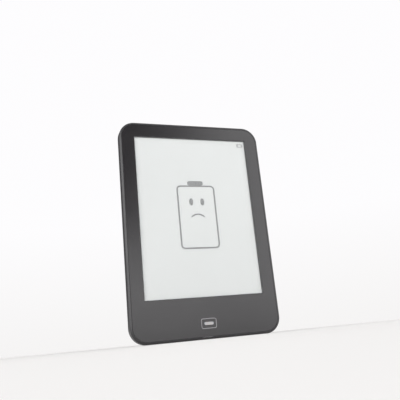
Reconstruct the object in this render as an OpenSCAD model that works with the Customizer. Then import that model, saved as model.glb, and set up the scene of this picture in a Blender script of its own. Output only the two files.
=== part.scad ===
/* [Body] */
// Width across the rear cover
body_w = 114; // [112:1:150]
// Height of the rear cover
body_h = 164; // [162:1:220]
// Thickness, back face to front face
body_t = 8.1; // [8:0.1:12]
// Corner radius seen from the front
corner_r = 12; // [8:0.5:16]
// Thickness of the side walls
wall = 1.6; // [1.5:0.1:1.8]
// Thickness of the back
back_wall = 1.2; // [1:0.1:1.2]
// Radius of the back edge
edge_r = 1.6; // [1:0.1:3]
// Width of the sloping front lip
lip_w = 1.35; // [0.5:0.05:1.4]
// Depth of the sloping front lip
lip_depth = 0.7; // [0.3:0.1:1.2]
// Open seam between the lip and the bezel
seam = 0.15; // [0.08:0.01:0.25]

/* [Display] */
// Width of the picture area
screen_w = 90.6; // [80:0.1:91]
// Height of the picture area
screen_h = 122.4; // [100:0.1:123]
// Bezel below the picture area
bezel_bottom = 29.8; // [28:0.1:31]
// Dark margin between the picture area and the bezel opening
mask = 0.6; // [0.3:0.1:1.2]
// Thickness of the bezel and the screen cover
bezel_t = 0.6; // [0.5:0.1:0.8]
// Thickness of the touch film
touch_t = 0.2; // [0.1:0.05:0.3]
// Thickness of the light guide
guide_t = 0.5; // [0.4:0.1:0.6]
// Thickness of the e-paper film
film_t = 0.35; // [0.3:0.05:0.4]
// Thickness of the backplane glass
glass_t = 0.7; // [0.5:0.1:0.7]
// Thickness of the adhesive tapes
tape_t = 0.15; // [0.1:0.01:0.2]

/* [Chassis] */
// Thickness of the steel chassis plate
chassis_t = 0.4; // [0.3:0.1:0.5]
// Thickness of the inner frame's upright wall
frame_wall = 1.3; // [1.1:0.1:1.5]
// Clearance between the inner frame and the rear cover
frame_gap = 0.15; // [0.1:0.01:0.2]
// Clearance between the glass and the inner frame
glass_gap = 0.3; // [0.2:0.1:0.5]
// Radius of the screw shanks
screw_r = 0.7; // [0.5:0.05:0.8]
// Radius of the screw heads
head_r = 1.3; // [1.1:0.1:1.4]
// Clearance round a screw where it passes through
screw_gap = 0.1; // [0.05:0.01:0.15]
// How far each snap hook bites into the inner frame
hook_bite = 0.3; // [0.2:0.05:0.4]

/* [Main board] */
// Width of the main board
board_w = 100; // [90:1:104]
// Height of the main board
board_h = 42; // [40:1:43]
// Thickness of the main board
board_t = 0.8; // [0.6:0.1:1]
// Gap between the main board and the chassis plate
standoff = 0.2; // [0.1:0.1:0.4]

/* [Battery] */
// Width of the battery cell
cell_w = 72; // [50:1:80]
// Height of the battery cell
cell_h = 92; // [60:1:98]
// Thickness of the battery cell
cell_t = 3.2; // [2.5:0.1:3.4]

/* [Keys and port] */
// Length of the power and light keys
key_len = 11; // [8:0.5:14]
// Thickness of the keys
key_t = 2.2; // [1.8:0.1:2.6]
// How far the keys stand out of the top edge
key_proud = 0.4; // [0.2:0.1:0.6]
// Travel of the keys
key_travel = 0.3; // [0.2:0.05:0.3]
// Clearance round each key in its slot
key_gap = 0.1; // [0.05:0.01:0.2]
// Distance of the power key from the middle
power_x = 36; // [30:1:38]
// Distance of the light key from the middle
light_x = 14; // [8:1:18]
// Width of the USB socket
usb_w = 7.5; // [7:0.1:8]
// Height of the USB socket
usb_h = 2.6; // [2.4:0.1:2.8]
// Clearance round the USB socket in the rear cover
usb_gap = 0.25; // [0.1:0.05:0.4]
// Radius of the reset hole
reset_r = 0.6; // [0.4:0.05:0.8]
// Travel of the reset plunger
reset_travel = 0.25; // [0.1:0.05:0.3]

/* [Home mark] */
// Height of the home mark's centre above the bottom edge
home_y = 10.9; // [9:0.1:11]
// Width of the home mark's outline
home_w = 11.7; // [9:0.1:13]
// Height of the home mark's outline
home_h = 7.2; // [6:0.1:9]
// Width of the printed line
home_line = 0.5; // [0.4:0.05:0.8]
// Depth of the printed inlay
home_inlay = 0.1; // [0.05:0.01:0.15]
// Width of the lit bar
bar_w = 7.1; // [5:0.1:8]
// Height of the lit bar
bar_h = 2.1; // [1.5:0.1:3]

/* [Hidden] */
$fn = 48;

// Everything is drawn lying on its back: x to the right, y up the screen, z towards the reader.
// Levels of the stack, from the front face down
z_bezel = body_t - bezel_t;
z_touch = z_bezel - touch_t;
z_guide = z_touch - guide_t;
z_film = z_guide - film_t;
z_glass = z_film - glass_t;
z_chassis_top = z_glass - tape_t;
z_chassis = z_chassis_top - chassis_t;
z_frame_top = z_bezel - tape_t;
z_board_top = z_chassis - standoff;
z_board = z_board_top - board_t;
z_cell_top = z_chassis - tape_t;
z_cell = z_cell_top - cell_t;

// Picture area, bezel opening and display sheets
screen_y0 = bezel_bottom;
screen_y1 = screen_y0 + screen_h;
glass_side = 3.7;
glass_ledge = 11.9;
glass_top = 4.1;
glass_w = screen_w + 2 * glass_side;
glass_y0 = screen_y0 - glass_ledge;
glass_y1 = screen_y1 + glass_top;
guide_side = 1.3;
guide_bottom = 3.4;
guide_w = screen_w + 2 * guide_side;
guide_y0 = screen_y0 - guide_bottom;
guide_y1 = screen_y1 + guide_side;
touch_side = 2.7;
touch_y0 = screen_y0 - 4.4;
touch_y1 = screen_y1 + touch_side;
film_y0 = screen_y0 - 2.4;

// Cavity of the rear cover, and the inner frame that fills it
cavity_w = body_w - 2 * wall;
cavity_y0 = wall;
cavity_y1 = body_h - wall;
cavity_r = corner_r - wall;
frame_w = cavity_w - 2 * frame_gap;
frame_y0 = cavity_y0 + frame_gap;
frame_y1 = cavity_y1 - frame_gap;
frame_r = cavity_r - frame_gap;
frame_z = back_wall + 0.2;
pocket_w = glass_w + 2 * glass_gap;
pocket_y0 = glass_y0 - glass_gap;
pocket_y1 = glass_y1 + glass_gap;
inner_w = frame_w - 2 * frame_wall;
inner_y0 = frame_y0 + frame_wall;
inner_y1 = frame_y1 - frame_wall;
inner_r = frame_r - frame_wall;
plate_gap = 0.2;

// Screws that hold the chassis plate to the inner frame
head_t = 0.5;
screw_x = inner_w / 2 - head_r - 0.35;
screw_rows = [11, 60, 110, body_h - 12];
screw_tip = z_frame_top - 0.35;

// Main board, with its screws
board_y0 = inner_y0 + 0.35;
board_y1 = board_y0 + board_h;
board_screw_low = board_y0 + 4.2;
board_screw_high = board_y1 - 3;
board_screw_side = board_w / 2 - 4;
board_screw_spots = [
    [-board_screw_side, board_screw_low], [8.6, board_screw_low], [board_screw_side, board_screw_low],
    [-board_screw_side, board_screw_high], [20, board_screw_high], [board_screw_side, board_screw_high]
];
standoff_r = 1.7;

// Snap hooks on the two long walls
hook_rows = [30, 75, 120, body_h - 28];
hook_len = 8;
hook_h = 1;
hook_z = 3;
hook_play = 0.08;

// Windows for the flexes, below the glass: [left x, right x]
flex_windows = [[-46, -8.5], [12, 34]];
window_y0 = inner_y0 + 4.2;
display_flex_x = [-43, -12];
touch_flex_x = [15, 22];
led_tail_x = [26, 31];
flex_t = 0.15;
connector_h = 0.9;
connector_d = 3;
connector_grip = 0.6;
connector_y = window_y0 + 0.6;
z_flex_low = z_board_top + 0.45;

// Keys on the top edge, and the side-push switches behind them
key_flange_t = 0.8;
key_flange = 1;
key_rest_gap = 0.05;
key_stop_y = cavity_y1 - key_rest_gap;
nub_len = 0.4;
nub_w = 3;
nub_t = 1.2;
plunger_y1 = key_stop_y - key_flange_t - nub_len;
plunger_w = 1.8;
plunger_t = 0.9;
plunger_out = 0.9;
plunger_in = 0.8;
plunger_play = 0.05;
switch_w = 4.6;
switch_d = 2.8;
switch_h = 1.8;
z_key_flex = z_chassis - flex_t;
key_z = z_key_flex - switch_h / 2;
switch_y1 = plunger_y1 - plunger_out;
key_bay_w = key_len + 2 * key_flange + 2;
tail_x = cell_w / 2 + 5;
tail_w = 4;

// Bottom edge: USB socket, reset switch and charge light
usb_z = z_board - usb_h / 2;
usb_y0 = 0.5;
usb_d = 5.4;
usb_skin = 0.3;
tongue_w = 4.4;
tongue_t = 0.6;
reset_x = 16;
reset_y = cavity_y0 + 1.6;
reset_z = z_board - 1;
reset_w = 3.2;
reset_d = 2.4;
charge_x = -14;
charge_y = cavity_y0 + 2.4;
charge_z = z_board - 0.9;
pipe_r = 0.6;
pipe_gap = 0.05;
port_bay = 1;

// Home mark
home_corner = 1.5;
pad_w = home_w + 3;
pad_h = 7.2;

// Battery and its lead
cell_y0 = board_y1 + 4.6;
cell_y1 = cell_y0 + cell_h;
cell_board_w = 56;
cell_board_d = 3;
cell_board_t = 1;
z_cell_board = z_cell + (cell_t - cell_board_t) / 2;
wire_r = 0.4;
wire_pitch = 1.2;
plug_w = 4.6;
plug_d = 3;
plug_t = 1.5;
plug_play = 0.05;
socket_wall = 0.6;
lead_x = 8;
socket_y1 = board_y1 - 1.6;
plug_z = z_board - 0.3 - plug_t / 2;

// Antenna film at the top left, and its cable along the left of the cell
antenna_x = [-46, -20];
antenna_h = 3.6;
cable_r = 0.5;
cable_x = -cell_w / 2 - 5;
radio_w = 13;
radio_h = 13;
radio_t = 1.7;
radio_x = -36;
radio_y = board_y0 + 17;
cable_z = z_board - 0.6;
cable_plug_r = 1;

//---------------------------------------------------------------- shared shapes

// Stands the lying model on its bottom edge, facing -Y, centred in its thickness
module upright() {
    translate([0, body_t / 2, 0]) rotate([90, 0, 0]) children();
}

module block(x, y, z) {
    translate([x[0], y[0], z[0]]) cube([x[1] - x[0], y[1] - y[0], z[1] - z[0]]);
}

module rounded_rect(w, h, r) {
    square([w - 2 * r, h], center = true);
    square([w, h - 2 * r], center = true);
    for (sx = [-1, 1], sy = [-1, 1])
        translate([sx * (w / 2 - r), sy * (h / 2 - r)]) circle(r = r);
}

// A sheet centred on x, between two heights y and two levels z
module sheet(w, y, z, r) {
    translate([0, (y[0] + y[1]) / 2, z[0]])
        linear_extrude(z[1] - z[0]) rounded_rect(w, y[1] - y[0], r);
}

// Extrudes a shape drawn in x and z along y, from y[0] to y[1]
module along_y(y) {
    translate([0, y[1], 0]) rotate([90, 0, 0]) linear_extrude(y[1] - y[0]) children();
}

// Extrudes a shape drawn in y and z along x, from x[0] to x[1]
module along_x(x) {
    translate([x[0], 0, 0]) rotate([90, 0, 90]) linear_extrude(x[1] - x[0]) children();
}

// A rod along z
module rod(x, y, z, r) {
    translate([x, y, z[0]]) cylinder(h = z[1] - z[0], r = r);
}

// A slot shape with round ends, centred
module stadium(w, h) {
    square([w - h, h], center = true);
    for (s = [-1, 1]) translate([s * (w - h) / 2, 0]) circle(r = h / 2);
}

//---------------------------------------------------------------- rear cover

// Section of the cover's outer margin: round back edge, upright side, sloping lip
module margin_section() {
    polygon([
        [0, 0], [corner_r - edge_r, 0], [corner_r - edge_r, edge_r], [corner_r, edge_r],
        [corner_r, body_t - lip_depth], [corner_r - lip_w, body_t], [0, body_t]
    ]);
    translate([corner_r - edge_r, edge_r]) circle(r = edge_r);
}

module cover_outside() {
    half = body_w / 2 - corner_r;
    top = body_h - corner_r;
    block([-half, half], [corner_r, top], [0, body_t]);
    // corner centre, start of the side that follows it, and that side's length
    runs = [
        [[half, top], 0, top - corner_r],
        [[-half, top], 90, 2 * half],
        [[-half, corner_r], 180, top - corner_r],
        [[half, corner_r], 270, 2 * half]
    ];
    for (run = runs) translate(run[0]) rotate(run[1]) {
        rotate_extrude(angle = 90) margin_section();
        rotate([90, 0, 0]) linear_extrude(run[2]) margin_section();
    }
}

// Wedge that snaps into the inner frame, on the right-hand wall
module hook(y) {
    reach = frame_gap + hook_bite;
    translate([cavity_w / 2, y - hook_len / 2, hook_z]) rotate([-90, 0, 0]) mirror([0, 1, 0])
        linear_extrude(hook_len) polygon([[0, 0], [-reach, 0], [-reach, hook_h / 2], [0, hook_h]]);
}

module key_slots(grow, y) {
    for (x = [power_x, light_x]) translate([x, 0, 0])
        along_y(y) translate([0, key_z]) stadium(key_len + 2 * grow, key_t + 2 * grow);
}

module port_holes(grow, y) {
    along_y(y) translate([0, usb_z]) rounded_rect(usb_w + 2 * grow, usb_h + 2 * grow, 0.8);
    translate([reset_x, y[1], reset_z]) rotate([90, 0, 0]) cylinder(h = y[1] - y[0], r = reset_r);
    translate([charge_x, y[1], charge_z]) rotate([90, 0, 0])
        cylinder(h = y[1] - y[0], r = pipe_r + pipe_gap);
}

module rear_cover() {
    color("#4a4a4c") upright() {
        difference() {
            cover_outside();
            sheet(cavity_w, [cavity_y0, cavity_y1], [back_wall, body_t + 1], cavity_r);
            key_slots(key_gap, [cavity_y1 - 1, body_h + 1]);
            port_holes(usb_gap, [-1, cavity_y0 + 1]);
        }
        for (y = hook_rows) {
            hook(y);
            mirror([1, 0, 0]) hook(y);
        }
    }
}

//---------------------------------------------------------------- frame and chassis

module hook_pockets() {
    deep = hook_bite + hook_play;
    for (y = hook_rows, s = [-1, 1]) translate([s * frame_w / 2, y, hook_z + hook_h / 2])
        cube([2 * deep, hook_len + 4 * hook_play, hook_h + 4 * hook_play], center = true);
}

module flex_openings(z) {
    for (x = flex_windows) block(x, [window_y0, pocket_y0 + 0.1], z);
}

// Room in the frame's wall for the keys, and for the pieces on the bottom edge
module wall_bays() {
    below_slab = [frame_z - 1, z_chassis_top];
    for (x = [power_x, light_x])
        block([x - key_bay_w / 2, x + key_bay_w / 2], [inner_y1 - 0.1, frame_y1 + 1], below_slab);
    block([charge_x - pipe_r - port_bay, reset_x + reset_w / 2 + port_bay], [frame_y0 - 1, inner_y0 + 0.1],
        below_slab);
}

module home_pipe_hole(grow, z) {
    translate([0, home_y, z[0]]) linear_extrude(z[1] - z[0])
        stadium(bar_w + 2 * grow, bar_h + 2 * grow);
}

module inner_frame() {
    color("#2b2b2d") upright() difference() {
        sheet(frame_w, [frame_y0, frame_y1], [frame_z, z_frame_top], frame_r);
        sheet(inner_w, [inner_y0, inner_y1], [frame_z - 1, z_chassis_top], inner_r);
        sheet(pocket_w, [pocket_y0, pocket_y1], [z_chassis, z_frame_top + 1], 1);
        flex_openings([z_chassis, z_frame_top + 1]);
        wall_bays();
        hook_pockets();
        home_pipe_hole(0.2, [z_chassis, z_frame_top + 1]);
        for (x = [-screw_x, screw_x], y = screw_rows) rod(x, y, [z_chassis, screw_tip], screw_r);
    }
}

module chassis_plate() {
    plate_w = inner_w - 2 * plate_gap;
    color("#a9adb1") upright() {
        difference() {
            sheet(plate_w, [inner_y0 + plate_gap, inner_y1 - plate_gap], [z_chassis, z_chassis_top],
                inner_r - plate_gap);
            flex_openings([z_chassis - 1, z_chassis_top + 1]);
            home_pipe_hole(0.4, [z_chassis - 1, z_chassis_top + 1]);
            // clear of metal behind the antenna
            block([antenna_x[0] - 1, antenna_x[1] + 1], [pocket_y1 + 0.2, body_h],
                [z_chassis - 1, z_chassis_top + 1]);
            for (x = [-screw_x, screw_x], y = screw_rows)
                rod(x, y, [z_chassis - 1, z_chassis_top + 1], screw_r + screw_gap);
            for (spot = board_screw_spots)
                rod(spot.x, spot.y, [z_chassis - 1, z_chassis_top + 1], screw_r);
        }
        for (spot = board_screw_spots) difference() {
            rod(spot.x, spot.y, [z_board_top, z_chassis], standoff_r);
            rod(spot.x, spot.y, [z_board_top - 1, z_chassis + 1], screw_r);
        }
    }
}

// A pan-head screw driven from the back, with a cross slot
module screw(x, y, head_z, tip_z) {
    difference() {
        union() {
            rod(x, y, [head_z, tip_z], screw_r);
            rod(x, y, [head_z - head_t, head_z], head_r);
        }
        for (a = [0, 90]) translate([x, y, head_z - head_t]) rotate(a) cube([1.5, 0.35, 0.5], center = true);
    }
}

module frame_screws() {
    color("#8d9094") upright() for (x = [-screw_x, screw_x], y = screw_rows)
        screw(x, y, z_chassis, screw_tip);
}

//---------------------------------------------------------------- front and display

module front_bezel() {
    color("#3e3e41") upright() difference() {
        sheet(cavity_w - 2 * seam, [cavity_y0 + seam, cavity_y1 - seam], [z_bezel, body_t], cavity_r - seam);
        block([-screen_w / 2 - mask, screen_w / 2 + mask], [screen_y0 - mask, screen_y1 + mask],
            [z_bezel - 1, body_t + 1]);
        home_pipe_hole(0, [z_bezel - 1, body_t + 1]);
        home_outline();
    }
}

module home_outline() {
    translate([0, home_y, body_t - home_inlay]) linear_extrude(home_inlay) difference() {
        rounded_rect(home_w, home_h, home_corner);
        rounded_rect(home_w - 2 * home_line, home_h - 2 * home_line, home_corner - home_line);
    }
}

module home_ring() {
    color("#8e8c90") upright() home_outline();
}

module home_light_pipe() {
    color("#c8c6c8") upright() home_pipe_hole(0, [z_chassis_top - 0.1, body_t]);
}

module home_led() {
    color("#f0ead0") upright()
        block([-0.8, 0.8], [home_y - 0.5, home_y + 0.5], [z_board_top, z_board_top + 0.45]);
}

module home_sensor() {
    color("#a8742c") upright() difference() {
        sheet(pad_w, [home_y - pad_h / 2, home_y + pad_h / 2], [z_frame_top, z_bezel], 1);
        home_pipe_hole(0.1, [z_frame_top - 1, z_bezel + 1]);
    }
}

module bezel_tape() {
    color("#1c1c1e") upright() difference() {
        sheet(frame_w - 1, [frame_y0 + 0.5, frame_y1 - 0.5], [z_frame_top, z_bezel], frame_r - 0.5);
        sheet(pocket_w, [pocket_y0, pocket_y1], [z_frame_top - 1, z_bezel + 1], 1);
        flex_openings([z_frame_top - 1, z_bezel + 1]);
        sheet(pad_w + 0.4, [home_y - pad_h / 2 - 0.2, home_y + pad_h / 2 + 0.2],
            [z_frame_top - 1, z_bezel + 1], 1.2);
    }
}

module screen_cover() {
    color([0.88, 0.9, 0.9, 0.35]) upright() block([-screen_w / 2 - mask, screen_w / 2 + mask],
        [screen_y0 - mask, screen_y1 + mask], [z_bezel, body_t]);
}

module touch_film() {
    color([0.8, 0.85, 0.86, 0.35]) upright()
        sheet(screen_w + 2 * touch_side, [touch_y0, touch_y1], [z_touch, z_bezel], 1);
}

module light_guide() {
    color([0.9, 0.93, 0.95, 0.35]) upright()
        block([-guide_w / 2, guide_w / 2], [guide_y0, guide_y1], [z_guide, z_touch]);
}

// Six lamps on a strip along the light guide's lower edge, and the strip's tail to the board
module led_strip() {
    lamps = 6;
    lamp_w = 3;
    lamp_d = 1;
    strip_y = [guide_y0 - 2.6, guide_y0 - 0.05];
    strip_z = z_guide - 0.1;
    pitch = guide_w / lamps;
    color("#d8c060") upright() {
        block([-guide_w / 2, guide_w / 2], strip_y, [strip_z, z_guide]);
        for (i = [0 : lamps - 1]) translate([(i - (lamps - 1) / 2) * pitch, 0, 0])
            block([-lamp_w / 2, lamp_w / 2], [strip_y[1] - lamp_d, strip_y[1]], [z_guide, z_touch]);
        tail(led_tail_x, strip_y[0] + 0.1, strip_z, 0.1);
    }
}

module epaper_film() {
    color("#e6e9e8") upright()
        block([-guide_w / 2, guide_w / 2], [film_y0, guide_y1], [z_film, z_guide]);
}

module backplane_glass() {
    color("#3a4a46") upright()
        block([-glass_w / 2, glass_w / 2], [glass_y0, glass_y1], [z_glass, z_film]);
}

module display_driver() {
    color("#101012") upright()
        block([-12, 12], [glass_y0 + 3.2, glass_y0 + 4.8], [z_film, z_film + 0.22]);
}

// A flex that leaves a sheet at y_top and level z_top, turns down beside the glass and enters its connector
module tail(x, y_top, z_top, t) {
    bend_y = glass_y0 - 0.9;
    along_x(x) {
        translate([bend_y, z_top]) square([y_top - bend_y, t]);
        translate([bend_y, z_flex_low]) square([t, z_top + t - z_flex_low]);
        translate([connector_y + connector_d - connector_grip, z_flex_low])
            square([bend_y + t - connector_y - connector_d + connector_grip, t]);
    }
}

module display_flex() {
    color("#b9822f") upright() tail(display_flex_x, glass_y0 + 2.4, z_film, flex_t);
}

module touch_flex() {
    color("#c08a36") upright() tail(touch_flex_x, touch_y0, z_bezel - flex_t, flex_t);
}

module display_tape() {
    color("#202022") upright() difference() {
        block([-glass_w / 2 + 1, glass_w / 2 - 1], [glass_y0 + 1, glass_y1 - 1], [z_chassis_top, z_glass]);
        block([-glass_w / 2 + 9, glass_w / 2 - 9], [glass_y0 + 9, glass_y1 - 9],
            [z_chassis_top - 1, z_glass + 1]);
    }
}

//---------------------------------------------------------------- main board

module main_board() {
    color("#1f5a3c") upright() difference() {
        intersection() {
            block([-board_w / 2, board_w / 2], [board_y0, board_y1], [z_board, z_board_top]);
            // its lower corners follow the inner frame
            sheet(inner_w - 2 * plate_gap, [inner_y0 + plate_gap, inner_y1 - plate_gap],
                [z_board, z_board_top], inner_r - plate_gap);
        }
        for (spot = board_screw_spots)
            rod(spot.x, spot.y, [z_board - 1, z_board_top + 1], screw_r + screw_gap);
    }
}

module board_screws() {
    color("#8d9094") upright() for (spot = board_screw_spots)
        screw(spot.x, spot.y, z_board, z_chassis_top);
}

// A chip on the back of the main board, its centre given from the board's lower left corner
module chip(x, y, w, h, t) {
    translate([x, board_y0 + y, 0]) block([-w / 2, w / 2], [-h / 2, h / 2], [z_board - t, z_board]);
}

module processor() {
    color("#1a1a1c") upright() chip(-6, 25, 12, 12, 1);
}

module working_memory() {
    color("#1a1a1c") upright() chip(6.5, 25, 9, 11, 0.9);
}

module storage_chip() {
    color("#222226") upright() chip(30, 17, 11.5, 13, 1);
}

module power_chip() {
    color("#18181a") upright() chip(-14, 11, 6, 6, 0.8);
}

module shield_can() {
    skin = 0.2;
    color("#b7babd") upright() difference() {
        chip(0.5, 25, 28, 16, 1.6);
        chip(0.5, 25, 28 - 2 * skin, 16 - 2 * skin, 1.6 - skin);
    }
}

module radio_module() {
    color("#c3c6c9") upright()
        translate([radio_x, radio_y, 0])
            block([-radio_w / 2, radio_w / 2], [-radio_h / 2, radio_h / 2], [z_board - radio_t, z_board]);
}

// Flex connectors on the front of the board, inside the chassis windows
module board_connectors() {
    color("#e4dfd2") upright() for (x = [display_flex_x, touch_flex_x, led_tail_x]) difference() {
        block([x[0] - 1, x[1] + 1], [connector_y, connector_y + connector_d],
            [z_board_top, z_board_top + connector_h]);
        block(x, [connector_y + connector_d - connector_grip, connector_y + connector_d + 1],
            [z_flex_low, z_flex_low + flex_t]);
    }
}

// Coils and capacitors round the power chip and the processor
module board_parts() {
    color("#8a7a60") upright() {
        for (i = [0 : 3]) chip(-22, 5 + 4.5 * i, 2.8, 2.8, 1.2);
        for (i = [0 : 5]) chip(-18 + 4 * i, 36, 1.6, 0.8, 0.8);
        for (i = [0 : 4]) chip(40, 9 + 4 * i, 1.6, 0.8, 0.8);
        chip(18, 11, 6, 3.2, 1);
    }
}

module cover_sensor() {
    color("#1a1a1c") upright() chip(board_w / 2 - 3, 22, 3, 1.6, 0.9);
}

//---------------------------------------------------------------- battery

module battery_cell() {
    color("#b9bcc0") upright() sheet(cell_w, [cell_y0, cell_y1], [z_cell, z_cell_top], 1.2);
}

module battery_tape() {
    color("#2f6fb0") upright() for (s = [-1, 1]) translate([s * cell_w / 4, 0, 0])
        sheet(cell_w / 3, [cell_y0 + 6, cell_y1 - 6], [z_cell_top, z_chassis], 1);
}

module battery_board() {
    color("#2a6a48") upright() block([-cell_board_w / 2, cell_board_w / 2],
        [cell_y0 - cell_board_d, cell_y0], [z_cell_board, z_cell_board + cell_board_t]);
}

module battery_lead() {
    top = cell_y0 - cell_board_d;
    bottom = socket_y1 - socket_wall;
    color("#b02a22") upright() for (i = [-1, 0, 1]) translate([lead_x + i * wire_pitch, top, plug_z])
        rotate([90, 0, 0]) cylinder(h = top - bottom, r = wire_r);
}

module battery_plug() {
    front = socket_y1 - socket_wall;
    color("#efece2") upright() translate([lead_x, 0, 0])
        block([-plug_w / 2, plug_w / 2], [front - plug_d, front], [plug_z - plug_t / 2, plug_z + plug_t / 2]);
}

module battery_socket() {
    half = plug_w / 2 + plug_play + socket_wall;
    back = socket_y1 - socket_wall - plug_d - plug_play - socket_wall;
    color("#f4f2ea") upright() translate([lead_x, 0, 0]) difference() {
        block([-half, half], [back, socket_y1 - socket_wall], [plug_z - plug_t / 2, z_board]);
        block([-plug_w / 2 - plug_play, plug_w / 2 + plug_play], [back + socket_wall, socket_y1 + 1],
            [plug_z - plug_t / 2 - 1, plug_z + plug_t / 2]);
    }
}

module foam_pads() {
    color("#3a3a3a") upright() for (x = [-24, 24], y = [cell_y0 + 12, cell_y1 - 12])
        translate([x, y, 0]) block([-8, 8], [-5, 5], [back_wall, z_cell]);
}

//---------------------------------------------------------------- antenna

module antenna() {
    color("#c9953f") upright() block(antenna_x, [pocket_y1 + 0.6, pocket_y1 + 0.6 + antenna_h],
        [z_chassis_top - 0.12, z_chassis_top]);
}

// Thin coaxial cable: from the radio module out to the left of the cell, along it, and to the antenna
module antenna_cable() {
    start_y = radio_y + radio_h / 2 + 1.6;
    end_y = pocket_y1 + 0.6 + antenna_h / 2;
    turn = 2;
    lane = cable_x;
    color("#2c2c2e") upright() {
        rod(radio_x, start_y, [cable_z - 0.6, z_board], cable_plug_r);
        translate([radio_x, start_y, cable_z]) rotate([0, -90, 0])
            cylinder(h = radio_x - lane - turn, r = cable_r);
        translate([lane + turn, start_y + turn, cable_z]) rotate(180) rotate_extrude(angle = 90)
            translate([turn, 0]) circle(r = cable_r);
        translate([lane, start_y + turn, cable_z]) rotate([-90, 0, 0])
            cylinder(h = end_y - start_y - turn, r = cable_r);
        rod(lane, end_y, [cable_z - 0.5, z_chassis_top - 0.12], 0.8);
    }
}

//---------------------------------------------------------------- keys

// Key with its flange behind the wall and the nub that meets the switch
module key(x) {
    translate([x, 0, 0]) {
        along_y([key_stop_y, body_h + key_proud]) translate([0, key_z]) stadium(key_len, key_t);
        along_y([key_stop_y - key_flange_t, key_stop_y]) translate([0, key_z])
            stadium(key_len + 2 * key_flange, key_t);
        along_y([plunger_y1, key_stop_y - key_flange_t]) translate([0, key_z])
            square([nub_w, nub_t], center = true);
    }
}

module power_key() {
    color("#6a6a6d") upright() key(power_x);
}

module light_key() {
    color("#6a6a6d") upright() key(light_x);
}

// Shape of the plunger, drawn in x and z, grown by a clearance
module plunger_shape(grow) {
    square([plunger_w + 2 * grow, plunger_t + 2 * grow], center = true);
}

module plunger(x) {
    translate([x, 0, 0]) along_y([switch_y1 - plunger_in, plunger_y1])
        translate([0, key_z]) plunger_shape(0);
}

module side_switch(x) {
    translate([x, 0, 0]) difference() {
        along_y([switch_y1 - switch_d, switch_y1])
            translate([0, key_z]) square([switch_w, switch_h], center = true);
        along_y([switch_y1 - plunger_in - key_travel - plunger_play, switch_y1 + 1])
            translate([0, key_z]) plunger_shape(plunger_play);
    }
}

module power_switch() {
    color("#c9ccd0") upright() side_switch(power_x);
}

module power_plunger() {
    color("#202022") upright() plunger(power_x);
}

module light_switch() {
    color("#c9ccd0") upright() side_switch(light_x);
}

module light_plunger() {
    color("#202022") upright() plunger(light_x);
}

// Strip behind both switches, and its tail down the right of the cell to the board
module key_flex() {
    strip_y = [switch_y1 - switch_d - 0.6, switch_y1];
    level = [z_key_flex, z_chassis];
    color("#b9822f") upright() {
        block([light_x - 4, tail_x + tail_w / 2], strip_y, level);
        block([tail_x - tail_w / 2, tail_x + tail_w / 2], [board_y1 - 2, strip_y[0]], level);
    }
}

//---------------------------------------------------------------- bottom edge

module usb_socket() {
    color("#b9bcc0") upright() along_y([usb_y0, usb_y0 + usb_d]) translate([0, usb_z]) difference() {
        rounded_rect(usb_w, usb_h, 0.7);
        rounded_rect(usb_w - 2 * usb_skin, usb_h - 2 * usb_skin, 0.4);
    }
}

module usb_tongue() {
    back = usb_y0 + usb_d;
    color("#151516") upright() {
        along_y([back - 0.8, back]) translate([0, usb_z])
            rounded_rect(usb_w - 2 * usb_skin, usb_h - 2 * usb_skin, 0.4);
        block([-tongue_w / 2, tongue_w / 2], [usb_y0 + 0.6, back - 0.8], [usb_z, usb_z + tongue_t]);
    }
}

module reset_plunger_shape(grow) {
    translate([reset_x, reset_z]) square([1.4 + 2 * grow, plunger_t + 2 * grow], center = true);
}

module reset_switch() {
    color("#c9ccd0") upright() difference() {
        block([reset_x - reset_w / 2, reset_x + reset_w / 2], [reset_y, reset_y + reset_d],
            [reset_z - 1, z_board]);
        along_y([reset_y - 1, reset_y + plunger_in + reset_travel + plunger_play])
            reset_plunger_shape(plunger_play);
    }
}

module reset_plunger() {
    color("#202022") upright() along_y([reset_y - 0.7, reset_y + plunger_in]) reset_plunger_shape(0);
}

module charge_led() {
    color("#e9e4c8") upright()
        block([charge_x - 0.8, charge_x + 0.8], [charge_y, charge_y + 0.9], [charge_z - 0.5, z_board]);
}

module charge_light_pipe() {
    color("#dcdcdc") upright() translate([charge_x, charge_y - pipe_gap, charge_z]) rotate([90, 0, 0])
        cylinder(h = charge_y - pipe_gap, r = pipe_r);
}

//---------------------------------------------------------------- nodes

rear_cover();
inner_frame();
front_bezel();
bezel_tape();
screen_cover();
touch_film();
light_guide();
led_strip();
epaper_film();
backplane_glass();
display_driver();
display_flex();
touch_flex();
display_tape();
chassis_plate();
frame_screws();
main_board();
board_screws();
processor();
working_memory();
storage_chip();
power_chip();
shield_can();
radio_module();
antenna();
antenna_cable();
board_connectors();
board_parts();
home_sensor();
home_ring();
home_light_pipe();
home_led();
battery_cell();
battery_board();
battery_tape();
battery_lead();
battery_plug();
battery_socket();
foam_pads();
key_flex();
power_key();
light_key();
power_switch();
power_plunger();
light_switch();
light_plunger();
reset_switch();
reset_plunger();
usb_socket();
usb_tongue();
charge_led();
charge_light_pipe();
cover_sensor();
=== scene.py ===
import math

import bpy
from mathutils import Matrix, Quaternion, Vector


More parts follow.
